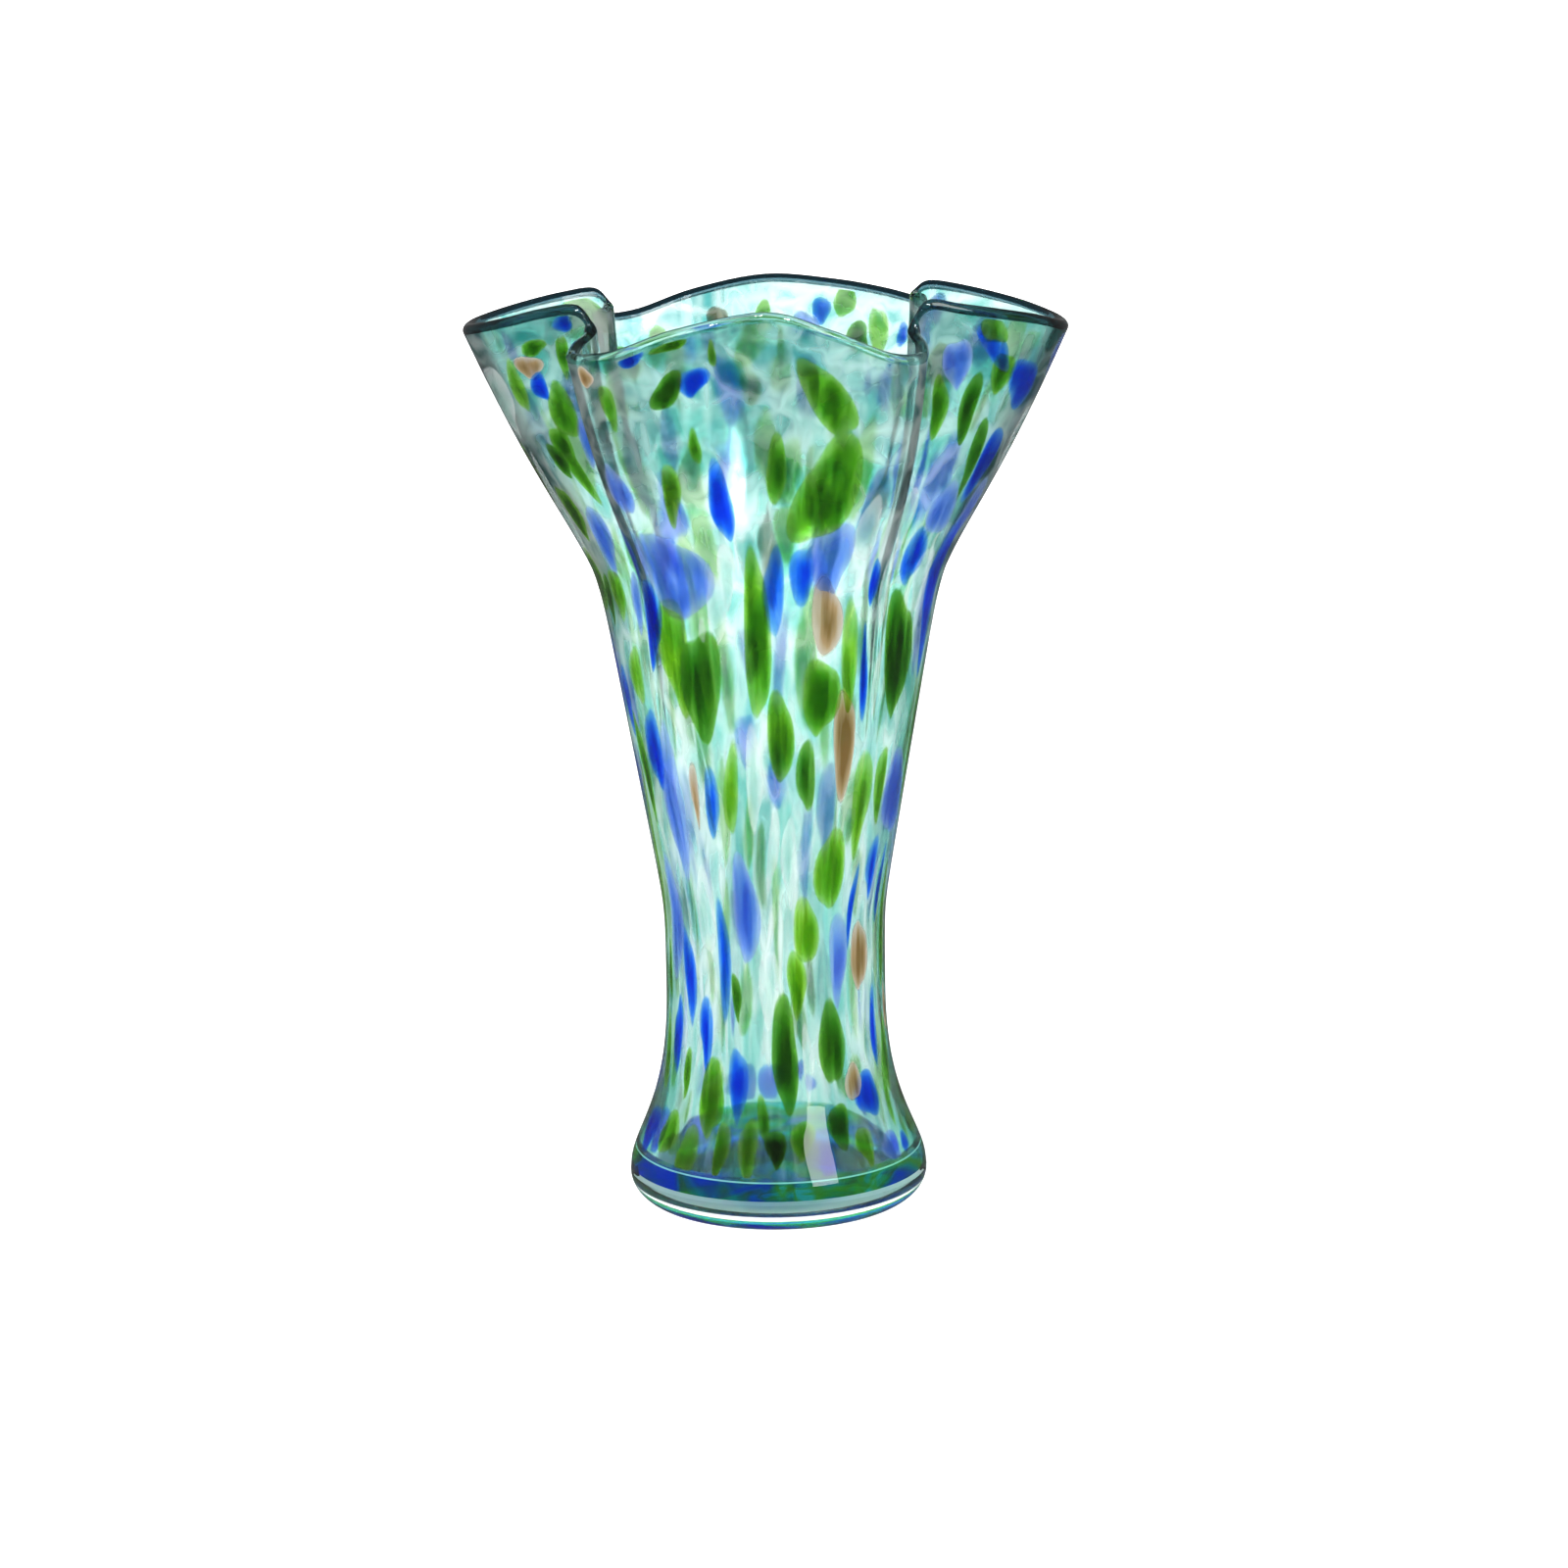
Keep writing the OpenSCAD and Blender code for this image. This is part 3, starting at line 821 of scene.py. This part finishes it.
def scatter(placed, dice):
    """Fill the gaps between the placed chips all round the vase."""
    laid = [chip for kind in placed.values() for chip in kind]
    for _ in range(TRIES):
        z = dice.uniform(SCATTER_FROM, SCATTER_TO)
        a = dice.uniform(0, 360)
        thinned = z > SPARSE_FROM and dice.random() < SPARSE_SHARE
        if thinned or z > FRONT_LOBE_FROM and FRONT_LOBE_START < a < FRONT_LOBE_END:
            continue
        width, length = (v * dice.uniform(0.45, 1.2) for v in size_at(z))
        spread = SPREAD_ABOVE if z > SHOULDER_Z else SPREAD_BELOW
        if all(apart(a, z, width, length, other) > spread for other in laid):
            chip = (a, z, width, length, dice.uniform(-6, 6))
            laid.append(chip)
            placed[dice.choice(MIXTURE)].append(chip)


def chips(kind, material, slot):
    """Every chip of one colour, as one piece."""
    dice = random.Random(kind)
    points, faces = TEMPLATE
    all_points, all_faces, hearts = [], [], []
    for chip in CHIPS[kind]:
        made, heart = chip_points(points, chip, dice)
        base = len(all_points)
        all_points += made
        hearts += heart
        all_faces += [tuple(i + base for i in f) for f in faces]
    mesh = bpy.data.meshes.new("chips_" + kind)
    mesh.from_pydata(all_points, [], all_faces)
    mesh.materials.append(material)
    layer = mesh.attributes.new("heart", "FLOAT", "POINT")
    layer.data.foreach_set("value", hearts)
    piece = bpy.data.objects.new("frit_" + kind, mesh)
    bpy.context.collection.objects.link(piece)
    mesh.shade_smooth()
    paint_flow(piece)
    hand_in(piece, slot, "chips_" + kind)


scatter(CHIPS, random.Random(866))
TEMPLATE = chip_template()
casing()
core()
lip()
foot()
core_floor()
chips("green", chip_glass("leaf_green_frit", "#48800e", "#78b828", "#b8e080", 0.13), "green_glass")
chips("forest", chip_glass("forest_green_frit", "#285208", "#50921c", "#90c45c", 0.13), "forest_glass")
chips("lime", chip_glass("lime_frit", "#74b010", "#a0d440", "#ccec9c", 0.14), "lime_glass")
chips("cobalt", chip_glass("cobalt_frit", "#0440f0", "#2478ff", "#8cc4ff", 0.14), "cobalt_glass")
chips("periwinkle", chip_glass("periwinkle_frit", "#5c84ec", "#90aefa", "#c6d8fc", 0.26), "periwinkle_glass")
chips("aventurine", chip_glass("aventurine_frit", "#a07c4c", "#ccac84", "#e4d6ca", 0.5), "aventurine_glass")
chips("opal", chip_glass("opal_frit", "#d8f0ea", "#f4fcfa", "#ffffff", 0.25), "opal_glass")


# ---------------------------------------------------------------- studio
def reflection_ray(tree):
    return put(tree, "ShaderNodeLightPath").outputs["Is Reflection Ray"]


def backdrop():
    """Even white light, brighter where it has been scattered once, dim in reflections."""
    world = bpy.data.worlds.new("studio")
    bpy.context.scene.world = world
    world.use_nodes = True
    tree = world.node_tree
    tree.nodes.clear()
    ray = put(tree, "ShaderNodeLightPath")
    scattered = maths(tree, "MINIMUM", ray.outputs["Diffuse Depth"], 1.0)
    level = remap(tree, scattered, 0.0, 1.0, 2.5, 4.0)
    back = put(tree, "ShaderNodeBackground", Color=WHITE, Strength=level)
    sheen = put(tree, "ShaderNodeBackground", Color=WHITE, Strength=0.14)
    light = blend(tree, reflection_ray(tree), back, sheen)
    put(tree, "ShaderNodeOutputWorld", Surface=light.outputs[0])


def pale_floor():
    """A lit white floor that fades out all round, dim in reflections."""
    bpy.ops.object.select_all(action="DESELECT")
    bpy.ops.mesh.primitive_circle_add(vertices=96, radius=2.0, fill_type="NGON", location=(0, 0, -0.0002))
    floor = bpy.context.object
    floor.name = "floor"
    material, tree = new_material("pale_floor")
    far = put(tree, "ShaderNodeVectorMath", {"operation": "LENGTH"}, s0=on_piece(tree)).outputs["Value"]
    paint = put(tree, "ShaderNodeBsdfPrincipled", Base_Color=(0.4, 0.4, 0.4, 1), Roughness=0.6,
                Emission_Color=WHITE, Emission_Strength=1.1)
    dim = put(tree, "ShaderNodeEmission", Color=WHITE, Strength=0.12)
    seen = blend(tree, reflection_ray(tree), paint, dim)
    gone = put(tree, "ShaderNodeBsdfTransparent", Color=WHITE)
    finish_material(tree, blend(tree, remap(tree, far, 0.5, 1.6), seen, gone).outputs[0])
    floor.data.materials.append(material)


def turned(place, aim):
    look = mathutils.Vector(aim) - mathutils.Vector(place)
    return look.to_track_quat("-Z", "Y")


def lamp(name, place, aim, size, watts, gloss_only=False):
    """A soft box; a gloss-only one is seen as a highlight and lights nothing."""
    data = bpy.data.lights.new(name, "AREA")
    data.shape = "RECTANGLE"
    data.size, data.size_y = size
    data.energy = watts
    box = bpy.data.objects.new(name, data)
    bpy.context.collection.objects.link(box)
    box.location = place
    box.rotation_euler = turned(place, aim).to_euler()
    box.visible_diffuse = box.visible_transmission = not gloss_only
    box.visible_glossy = gloss_only


EYE = (0, -1.35, 0.405)
AIM = (0, 0, 0.150)


def camera():
    data = bpy.data.cameras.new("camera")
    data.sensor_width = 36
    data.lens = 96.9
    data.shift_x, data.shift_y = 0.0075, -0.02
    data.clip_end = 20
    eye = bpy.data.objects.new("camera", data)
    bpy.context.collection.objects.link(eye)
    eye.location = EYE
    roll = mathutils.Quaternion((0, 0, 1), math.radians(-0.9))
    eye.rotation_euler = (turned(EYE, AIM) @ roll).to_euler()
    bpy.context.scene.camera = eye


backdrop()
pale_floor()
lamp("window", (1.10, -1.45, 1.2), (0, 0, 0.1), (0.75, 1.6), 26, gloss_only=True)
lamp("overhead", (-0.6, -0.3, 1.6), (0, 0, 0.2), (1.2, 1.2), 20)
lamp("left_spot", (-0.7, -1.3, 1.1), (0, 0, 0.25), (0.1, 0.1), 14, gloss_only=True)
lamp("right_spot", (0.35, -1.3, 1.3), (0, 0, 0.25), (0.1, 0.1), 14, gloss_only=True)
lamp("front_spot", (-0.1, -0.9, 1.5), (0, 0, 0.25), (0.12, 0.12), 14, gloss_only=True)
camera()
scene = bpy.context.scene
scene.view_settings.view_transform = "Standard"
scene.cycles.max_bounces = 24
scene.cycles.transmission_bounces = 20
scene.cycles.transparent_max_bounces = 40
